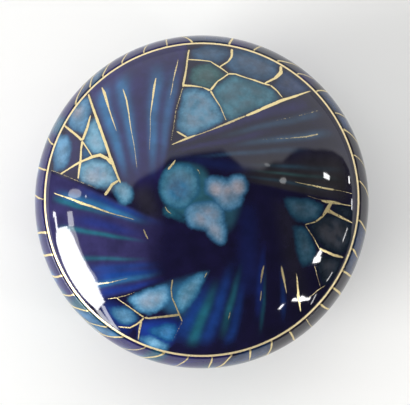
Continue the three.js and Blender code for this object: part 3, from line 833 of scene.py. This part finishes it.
def readMesh(items, name, size, kind):
    values = np.empty(len(items) * size, kind)
    items.foreach_get(name, values)
    return values.reshape(-1, size) if size > 1 else values


def paint(piece, decor, toPlane, alongSide):
    mesh = piece.data
    places = readMesh(mesh.vertices, "co", 3, float) / mm
    cornerPoints = readMesh(mesh.loops, "vertex_index", 1, int)
    counts = readMesh(mesh.polygons, "loop_total", 1, int)
    faceOf = np.repeat(np.arange(len(counts)), counts)
    slot = [m.name.startswith("glazePainted") for m in mesh.materials].index(True)
    chosen = readMesh(mesh.polygons, "material_index", 1, int) == slot
    sums = [np.bincount(faceOf, places[cornerPoints, axis]) for axis in range(3)]
    centres = np.stack(sums, axis=1) / counts[:, None]
    middles = toPlane(centres)
    corners = toPlane(places[cornerPoints])
    if decor["around"]:     # a face that crosses the join keeps its corners together
        across = middles[faceOf, 0]
        corners[:, 0] = wrapped(corners[:, 0] - across, decor["around"]) + across
    middles[~chosen] = 1e4      # far from any stroke
    points, middles, corners = (wobbled(group, decor["wobble"])
                                for group in (toPlane(places), middles, corners))
    paintFields(mesh, decor, points, alongSide(places))
    drawLines(mesh, decor, middles, corners, faceOf)


# Glazes. A noise is (mm across, detail). A span is a noise, the stretch of its values that counts
# and what the stretch's two ends become, with a smooth step between them.

smooth = {"interpolation_type": "SMOOTHSTEP", "out": 0}
noiseRoughness = 0.58           # share that each finer layer of a noise keeps


def blankMaterial(name):
    material = bpy.data.materials.new(name)
    material.use_nodes = True
    material.node_tree.nodes.clear()
    return material, material.node_tree


def patterns(tree, finish):     # the finish's noises on the object's own place, and their spans
    place = addNode(tree, "ShaderNodeTexCoord", out="Object")
    place = addNode(tree, "ShaderNodeVectorMath", {0: place, "Scale": 1 / mm}, 0, operation="SCALE")
    made = {}
    for name, (size, detail) in finish["noises"].items():
        inputs = {"Vector": place, "Scale": 1 / size, "Detail": detail,
                  "Roughness": noiseRoughness}
        made[name] = addNode(tree, "ShaderNodeTexNoise", inputs, 0)
    for name, (source, *span) in finish["spans"].items():
        made[name] = addNode(tree, "ShaderNodeMapRange", (made[source], *span), **smooth)
    return made


def fields(tree, name):         # the three values of one of the mesh's attributes
    read = addNode(tree, "ShaderNodeAttribute", out="Vector", attribute_name=name)
    return addNode(tree, "ShaderNodeSeparateXYZ", (read,)).outputs


def surfaced(tree, finish, height, inputs):     # bump, shader and output of a material
    strength, rise = finish["bump"]
    inputs["Normal"] = addNode(tree, "ShaderNodeBump", {"Height": height, "Strength": strength,
                                                        "Distance": rise * mm}, 0)
    shader = addNode(tree, "ShaderNodeBsdfPrincipled", inputs, 0)
    addNode(tree, "ShaderNodeOutputMaterial", {"Surface": shader})


# Painted and gilded glaze: underglaze colours on earthenware below a glossy clear glaze, which
# gives sharp white reflections, and overglaze gold lines, which shine warm and wear through.

gildedFinish = {
    "ior": 1.5,                 # lead or alkaline glaze
    "roughness": 0.045,
    "bump": (0.3, 0.06),        # strength, and mm of height
    "noises": {
        "cloud": (4.5, 3.0),    # of pigment
        "fleck": (0.9, 2.0),
        "patch": (3.6, 1.0),    # in a cell's paler heart
        "brushed": (8.0, 4.0),  # thin and thick stretches of the ground between the cells
        "rub": (0.4, 3.0),      # worn spots of the gilding
        "ripple": (6.0, 1.0),   # of the glossy surface
    },
    "spans": {
        "wander": ("cloud", 0.3, 0.7, -0.3, 0.3),       # mm that a cell's edge moves
        "tremble": ("fleck", 0.3, 0.7, -0.1, 0.1),
        "body": ("cloud", 0.3, 0.7, 0.7, 1.28),         # strength of a cell's colour
        "speck": ("fleck", 0.3, 0.7, 0.94, 1.06),
        "patchy": ("patch", 0.2, 0.62, 0.0, 1.0),
        "thinned": ("cloud", 0.3, 0.7, 0.88, 1.12),     # strength of the ground's colour
        "stretched": ("brushed", 0.32, 0.66, 0.86, 1.12),
        "shake": ("cloud", 0.3, 0.7, 0.9, 1.28),        # of a gilt line's width
        "rubbed": ("rub", 0.32, 0.62, 0.0, 1.0),
        "burnish": ("fleck", 0.3, 0.7, 0.26, 0.44),     # roughness of the hand burnished gold
    },
    "rim": (0.2, 2.2),          # mm into a cell over which its deep rim gives way to its colour
    "rimKeeps": (0.28, 0.5, 0.62),  # of the colour's red, green and blue
    "heart": (1.2, 4.0),        # mm into a cell over which its paler heart comes up
    "edge": (-0.5, 1.05),       # mm over which the ground gives way to a cell
    "giltEdge": (-0.06, 0.06),  # mm over which a gilt line ends
    "giltBend": 0.34,           # mm over which two strokes flow into each other
    "giltLoss": 0.3,            # mm that a fully worn line loses where it is rubbed
    "giltThin": 0.5,            # share of its gold that a fully worn line loses all over
    "giltMetal": 0.86,          # thin gold lets a little of the glaze show
    "giltHeight": 0.3,          # of the gold above the glaze, as a share of the ripple
}


def paintedGlaze(name, ring):
    material, tree = blankMaterial(name)
    finish, look = gildedFinish, patterns(tree, gildedFinish)
    shade = addNode(tree, "ShaderNodeAttribute", out="Color", attribute_name="shade")
    fill = addNode(tree, "ShaderNodeAttribute", out="Color", attribute_name="fill")
    depth, heart, toRim = fields(tree, "layer")

    # pigment: soft pools of colour with a deeper rim and a paler heart
    drift = addNode(tree, "ShaderNodeMath", (look["wander"], look["tremble"]), 0, operation="ADD")
    edge = addNode(tree, "ShaderNodeMath", (depth, drift), 0, operation="ADD")
    gain = addNode(tree, "ShaderNodeMath", (look["body"], look["speck"]), 0, operation="MULTIPLY")
    lit = addNode(tree, "ShaderNodeVectorMath", {0: fill, "Scale": gain}, 0, operation="SCALE")
    rim = addNode(tree, "ShaderNodeVectorMath", (fill, finish["rimKeeps"]), 0, operation="MULTIPLY")
    inward = addNode(tree, "ShaderNodeMapRange", (edge, *finish["rim"]), **smooth)
    pool = addNode(tree, "ShaderNodeMix", {0: inward, 6: rim, 7: lit}, 2, data_type="RGBA")
    share = addNode(tree, "ShaderNodeMapRange", (edge, *finish["heart"]), **smooth)
    share = addNode(tree, "ShaderNodeMath", (share, look["patchy"]), 0, operation="MULTIPLY")
    share = addNode(tree, "ShaderNodeMath", (share, heart), 0, operation="MULTIPLY")
    rose = (*colour["rose"], 1)
    pool = addNode(tree, "ShaderNodeMix", {0: share, 6: pool, 7: rose}, 2, data_type="RGBA")
    drawn = addNode(tree, "ShaderNodeMath", (look["thinned"], look["stretched"]), 0,
                    operation="MULTIPLY")
    ground = addNode(tree, "ShaderNodeVectorMath", {0: shade, "Scale": drawn}, 0, operation="SCALE")
    within = addNode(tree, "ShaderNodeMapRange", (edge, *finish["edge"]), **smooth)
    pigment = addNode(tree, "ShaderNodeMix", {0: within, 6: ground, 7: pool}, 2, data_type="RGBA")

    # gilding: the two nearest strokes, and a ring at its distance in from the edge
    strokes, wears = [], []
    for line in ("lineNear", "lineNext"):
        across, width, wear = fields(tree, line)
        off = addNode(tree, "ShaderNodeMath", (across,), 0, operation="ABSOLUTE")
        full = addNode(tree, "ShaderNodeMath", (width, look["shake"]), 0, operation="MULTIPLY")
        full = addNode(tree, "ShaderNodeMath", (full, off), 0, operation="SUBTRACT")
        loss = addNode(tree, "ShaderNodeMath", (wear, look["rubbed"]), 0, operation="MULTIPLY")
        loss = addNode(tree, "ShaderNodeMath", (loss, finish["giltLoss"]), 0, operation="MULTIPLY")
        strokes.append(addNode(tree, "ShaderNodeMath", (full, loss), 0, operation="SUBTRACT"))
        wears.append(wear)
    onStroke = addNode(tree, "ShaderNodeMath", (*strokes, finish["giltBend"]), 0,
                       operation="SMOOTH_MAX")
    stroke = addNode(tree, "ShaderNodeMapRange", (onStroke, *finish["giltEdge"]), **smooth)
    thin = addNode(tree, "ShaderNodeMath", (wears[0], finish["giltThin"]), 0, operation="MULTIPLY")
    kept = addNode(tree, "ShaderNodeMath", (1.0, thin), 0, operation="SUBTRACT")
    stroke = addNode(tree, "ShaderNodeMath", (kept, stroke), 0, operation="MULTIPLY")
    fromRing = addNode(tree, "ShaderNodeMath", (toRim, ring[0]), 0, operation="SUBTRACT")
    fromRing = addNode(tree, "ShaderNodeMath", (fromRing,), 0, operation="ABSOLUTE")
    onRing = addNode(tree, "ShaderNodeMath", (ring[1], fromRing), 0, operation="SUBTRACT")
    onRing = addNode(tree, "ShaderNodeMapRange", (onRing, *finish["giltEdge"]), **smooth)
    gilt = addNode(tree, "ShaderNodeMath", (stroke, onRing), 0, operation="MAXIMUM")

    gold, paleGold = (*colour["gold"], 1), (*colour["paleGold"], 1)
    gold = addNode(tree, "ShaderNodeMix", {0: onRing, 6: gold, 7: paleGold}, 2, data_type="RGBA")
    base = addNode(tree, "ShaderNodeMix", {0: gilt, 6: pigment, 7: gold}, 2, data_type="RGBA")
    roughness = {0: gilt, 2: finish["roughness"], 3: look["burnish"]}
    roughness = addNode(tree, "ShaderNodeMix", roughness, 0, data_type="FLOAT")
    metal = addNode(tree, "ShaderNodeMath", (gilt, finish["giltMetal"]), 0, operation="MULTIPLY")
    height = addNode(tree, "ShaderNodeMath", (gilt, finish["giltHeight"]), 0, operation="MULTIPLY")
    height = addNode(tree, "ShaderNodeMath", (look["ripple"], height), 0, operation="ADD")
    surfaced(tree, finish, height, {"Base Color": base, "Metallic": metal,
                                    "Roughness": roughness, "IOR": finish["ior"]})
    return material


# Plain cobalt glaze of the inside and the underside: one dipped coat, so it is glossy and plain,
# in soft clouds of lighter and darker blue where it ran thin or thick.

dippedFinish = {
    "ior": 1.5,
    "roughness": 0.07,          # dipped and not polished
    "bump": (0.35, 0.08),
    "noises": {"coat": (9.0, 4.0), "ripple": (6.0, 1.0)},
    "spans": {"thickness": ("coat", 0.3, 0.7, 0.0, 1.0)},
}


def plainGlaze(name):
    material, tree = blankMaterial(name)
    finish, look = dippedFinish, patterns(tree, dippedFinish)
    ends = {0: look["thickness"], 6: (*colour["ground"], 1), 7: (*colour["inside"], 1)}
    shade = addNode(tree, "ShaderNodeMix", ends, 2, data_type="RGBA")
    surfaced(tree, finish, look["ripple"], {"Base Color": shade, "Roughness": finish["roughness"],
                                            "IOR": finish["ior"]})
    return material


# Bare biscuit: fired, unglazed pale earthenware where the ware stood in the kiln, matt and sandy.

biscuitFinish = {
    "roughness": 0.75,
    "bump": (0.5, 0.08),
    "noises": {"grit": (0.6, 4.0), "handling": (8.0, 3.0)},
    "spans": {"sandy": ("grit", 0.3, 0.7, 0.82, 1.06), "stained": ("handling", 0.3, 0.7, 0.86, 1.0)},
}


def bareBiscuit(name):
    material, tree = blankMaterial(name)
    finish, look = biscuitFinish, patterns(tree, biscuitFinish)
    gain = addNode(tree, "ShaderNodeMath", (look["sandy"], look["stained"]), 0, operation="MULTIPLY")
    body = {0: tuple(colour["biscuit"]), "Scale": gain}
    shade = addNode(tree, "ShaderNodeVectorMath", body, 0, operation="SCALE")
    surfaced(tree, finish, look["grit"], {"Base Color": shade, "Roughness": finish["roughness"]})
    return material


# The two pieces

wareTree = turnedWareTree()
plainMaterial, biscuitMaterial = plainGlaze("glazePlainCobalt"), bareBiscuit("biscuitBare")


def profileLength(profile):     # heights and lengths along the painted outside, upwards
    outer = np.array([row[:2] for row in profile if row[3] == painted])
    outer = outer[np.argsort(outer[:, 1], kind="stable")]
    steps = np.hypot(*np.diff(outer, axis=0).T)
    return outer[:, 1], np.concatenate([[0], np.cumsum(steps)])


def lidPlane(places):
    return places[:, :2].copy()


def lidInward(places):          # millimetres in from the lid's edge, which its underside is outside
    inward = seamRadius - np.hypot(places[:, 0], places[:, 1])
    return np.where(places[:, 2] > form["seam"] + 0.02, inward, -3.0)


def bowlAlong(places):          # millimetres down the side from the seam
    heights, lengths = bowlLengths
    return lengths[-1] - np.interp(places[:, 2], heights, lengths)


def bowlPlane(places):
    turn = np.arctan2(places[:, 1], places[:, 0])
    return np.stack([turn * form["belly"], -bowlAlong(places)], axis=1)


lidRows, bowlRows = lidProfile(), bowlProfile()
bowlLengths = profileLength(bowlRows)
lid = turnedPiece("lidPainted", lidRows,
                  (paintedGlaze("glazePaintedLid", lidDecor["ring"]), plainMaterial,
                   biscuitMaterial))
paint(lid, lidDecor, lidPlane, lidInward)
print("lid made and painted:", len(lid.data.polygons), "faces")

layBowlDecor(np.random.default_rng(bowlDecor["seed"]))
bowl = turnedPiece("bowlPainted", bowlRows,
                   (paintedGlaze("glazePaintedBowl", bowlDecor["ring"]), plainMaterial,
                    biscuitMaterial))
paint(bowl, bowlDecor, bowlPlane, bowlAlong)
print("bowl made and painted:", len(bowl.data.polygons), "faces")

for piece, node, slot in ((lid, "lid", "lid_glaze"), (bowl, "bowl", "bowl_glaze")):
    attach(piece, "root")
    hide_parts(node)


# Floor, camera and light. Directions are azimuth and elevation, in degrees.

studio = {
    "floor": "#f6f5f2",         # pale matt paper
    "floorRoughness": 0.9,
    "floorReach": 3,            # metres to each side
    "distance": 0.6,            # metres from the camera to the middle of the seam's plane
    "elevation": 85.6,
    "sensor": 36.0,             # millimetres wide
    "picture": (410, 405),      # pixels of the photograph
    "pixelsPerMm": 2.826,       # at the seam
    "seamSpot": (201.7, 198.7),  # where the seam's middle shows
    "light": (0.97, 0.98, 1.0, 1),  # linear colour of the room's light
    "veil": 1.35,               # bright ceiling and wall behind the box
    "room": 0.09,               # the dim side of the room
    "veilSoft": (-0.012, 0.018),    # about the edge, from dim to bright
    "veilReach": 1.2,           # of its lower edge to each side, as the slope of what mirrors it
    "veilLift": 0.6,            # added to the edge's heights, so that the curve stays above nought
    "veilEnds": [(-1.2, 0.36), (1.2, -0.6)],
    "veilEdge": [(-1.1, 0.32), (-0.92, 0.23), (-0.77, 0.171), (-0.583, 0.118), (-0.363, 0.06),
                 (-0.276, 0.054), (-0.226, 0.1), (-0.156, 0.13), (-0.113, 0.168), (-0.04, 0.184),
                 (0.07, 0.198), (0.117, 0.165), (0.146, 0.136), (0.216, 0.134), (0.269, 0.165),
                 (0.316, 0.175), (0.363, 0.217), (0.414, 0.25), (0.526, 0.271), (0.709, 0.314),
                 (0.84, 0.308), (0.92, 0.25), (0.97, -0.1), (1.1, -0.5)],
    "lampDistance": 6.0,        # metres
    "window": [                 # azimuth, lower and upper elevation, and its blurred edge above
        (187.6, 7.5, 18.0, 6.0), (190.0, 5.0, 21.5, 3.6), (193.0, 3.2, 23.0, 2.6),
        (199.0, 2.2, 24.2, 1.4), (206.0, 1.4, 24.6, 1.0), (213.0, 1.2, 24.2, 2.0),
        (218.0, 2.0, 21.5, 1.2), (224.0, 4.0, 16.5, 0.4)],
    "windowStrips": 26,
    "windowLight": (22.0, 5.0),  # radiance of the window and of its blurred edge
    "sill": [                   # azimuths, elevations and radiance of the lit frames beside it
        (181.0, 183.0, 5.4, 8.4, 20.0), (183.0, 187.6, 6.6, 8.8, 20.0),
        (181.6, 187.6, 20.8, 25.2, 9.0)],
    "glints": [                 # lamps far off: from, to, width and radiance
        ((13.4, 25.0), (15.0, 28.8), 2.2, 26.0), ((12.8, 4.8), (10.0, 6.0), 1.2, 26.0),
        ((4.1, 4.2), (359.9, 4.0), 0.9, 22.0), ((352.7, 7.1), (347.2, 8.9), 0.8, 16.0),
        ((340.0, 26.2), (334.6, 27.0), 2.6, 30.0), ((336.6, 23.6), (334.6, 28.6), 2.4, 30.0),
        ((314.6, 22.4), (320.2, 10.4), 1.6, 30.0), ((317.4, 19.0), (318.2, 15.0), 2.6, 30.0),
        ((310.3, 24.5), (307.3, 23.4), 1.4, 30.0), ((334.2, 6.7), (330.0, 7.0), 0.8, 16.0),
        ((323.3, 8.2), (318.9, 5.2), 0.8, 16.0), ((174.0, 35.4), (174.8, 35.4), 0.9, 20.0),
        ((223.6, 5.0), (231.6, -0.4), 4.6, 9.0), ((224.2, 12.6), (235.1, -0.2), 2.6, 10.0)],
    "spots": [                  # round lamps: from, to, width and radiance
        ((173.9, 21.6), (173.2, 32.0), 4.0, 4.4), ((18.0, 55.4), (17.2, 52.2), 2.6, 3.4),
        ((34.5, 59.0), (30.9, 56.9), 1.2, 2.0)],
    "fill": ((270, 30), (90, 70), 80, 0.61),    # the same, of a lamp that the gloss doesn't mirror
}

far = studio["floorReach"]
floorMesh = bpy.data.meshes.new("floor")
floorMesh.from_pydata([(-far, -far, 0), (far, -far, 0), (far, far, 0), (-far, far, 0)], [],
                      [(0, 1, 2, 3)])
floor = bpy.data.objects.new("floor", floorMesh)
bpy.context.scene.collection.objects.link(floor)
floorMaterial, floorTree = blankMaterial("floorPaper")
floorShader = addNode(floorTree, "ShaderNodeBsdfPrincipled", {
    "Base Color": (*linear(studio["floor"]), 1), "Roughness": studio["floorRoughness"]}, 0)
addNode(floorTree, "ShaderNodeOutputMaterial", {"Surface": floorShader})
floorMesh.materials.append(floorMaterial)

cameraData = bpy.data.cameras.new("camera")
camera = bpy.data.objects.new("camera", cameraData)
bpy.context.scene.collection.objects.link(camera)
bpy.context.scene.camera = camera
wide, high = studio["picture"]
scale = studio["pixelsPerMm"]
cameraData.sensor_width = studio["sensor"]
cameraData.lens = scale * studio["distance"] / mm * cameraData.sensor_width / wide
rise = math.radians(studio["elevation"])
back = np.array((0.0, -math.cos(rise), math.sin(rise)))
upward = np.array((0.0, math.sin(rise), math.cos(rise)))
target = np.array((0.0, 0.0, form["seam"] * mm))
aside = (studio["seamSpot"][0] - wide / 2) / scale * mm
above = (high / 2 - studio["seamSpot"][1]) / scale * mm
camera.location = target + back * studio["distance"] - np.array((aside, 0, 0)) - upward * above
camera.rotation_euler = (math.pi / 2 - rise, 0, 0)
cameraData.clip_start, cameraData.clip_end = 0.01, 20


def towards(azimuth, elevation):
    turn, lift = math.radians(azimuth), math.radians(elevation)
    return Vector((math.cos(turn) * math.cos(lift), math.sin(turn) * math.cos(lift), math.sin(lift)))


def lamp(name, start, end, width, radiance, shape="RECTANGLE"):     # flat, from start to end
    first, last = towards(*start), towards(*end)
    outward = (first + last).normalized()
    length = (last - first).normalized()
    data = bpy.data.lights.new(name, "AREA")
    data.shape = shape
    data.size = studio["lampDistance"] * (last - first).length
    data.size_y = studio["lampDistance"] * math.radians(width)
    data.energy = radiance * math.pi * data.size * data.size_y
    made = bpy.data.objects.new(name, data)
    bpy.context.scene.collection.objects.link(made)
    turned = Matrix((length, outward.cross(length), outward)).transposed().to_4x4()
    made.matrix_world = Matrix.Translation(outward * studio["lampDistance"]) @ turned
    return made


outline = np.array(studio["window"])
edges = np.linspace(outline[0, 0], outline[-1, 0], studio["windowStrips"] + 1)
for number, (west, east) in enumerate(zip(edges, edges[1:])):
    middle = (west + east) / 2
    low, high, soft = (float(np.interp(middle, outline[:, 0], outline[:, i])) for i in (1, 2, 3))
    lamp("window%d" % number, (middle, low), (middle, high), east - west, studio["windowLight"][0])
    lamp("windowEdge%d" % number, (middle, high), (middle, high + soft), east - west,
         studio["windowLight"][1])
for number, (west, east, low, high, radiance) in enumerate(studio["sill"]):
    middle = (west + east) / 2
    lamp("sill%d" % number, (middle, low), (middle, high), east - west, radiance)
for number, (start, end, width, radiance) in enumerate(studio["glints"]):
    lamp("glint%d" % number, start, end, width, radiance)
for number, (start, end, width, radiance) in enumerate(studio["spots"]):
    lamp("spot%d" % number, start, end, width, radiance, shape="ELLIPSE")
lamp("fill", *studio["fill"]).visible_glossy = False

world = bpy.data.worlds.new("studio")
bpy.context.scene.world = world
world.use_nodes = True
sky = world.node_tree
sky.nodes.clear()
seen = addNode(sky, "ShaderNodeTexCoord", out="Generated")
parts = addNode(sky, "ShaderNodeSeparateXYZ", (seen,)).outputs
flat = addNode(sky, "ShaderNodeMath", (parts["Z"], 1.0001), 0, operation="ADD")     # never nought
sideways = addNode(sky, "ShaderNodeMath", (parts["X"], flat), 0, operation="DIVIDE")
onward = addNode(sky, "ShaderNodeMath", (parts["Y"], flat), 0, operation="DIVIDE")

# the veil's lower edge is a curve, whose two directions run from 0 to 1
reach, lift = studio["veilReach"], studio["veilLift"]
share = addNode(sky, "ShaderNodeMapRange", (sideways, -reach, reach), 0)
edge = addNode(sky, "ShaderNodeFloatCurve", {"Value": share})
curve = edge.mapping.curves[0]
for point, (x, y) in zip((curve.points[0], curve.points[-1]), studio["veilEnds"]):
    point.location = (x / (2 * reach) + 0.5, y + lift)
for x, y in studio["veilEdge"]:
    curve.points.new(x / (2 * reach) + 0.5, y + lift)
for point in curve.points:
    point.handle_type = "VECTOR"
edge.mapping.update()
height = addNode(sky, "ShaderNodeMath", (edge.outputs[0], lift), 0, operation="SUBTRACT")
over = addNode(sky, "ShaderNodeMath", (onward, height), 0, operation="SUBTRACT")
veil = addNode(sky, "ShaderNodeMapRange",
               (over, *studio["veilSoft"], studio["room"], studio["veil"]), **smooth)
light = addNode(sky, "ShaderNodeBackground", {"Color": studio["light"], "Strength": veil}, 0)
addNode(sky, "ShaderNodeOutputWorld", {"Surface": light})
print("floor, camera and light made")

bpy.context.scene.view_settings.view_transform = "Standard"
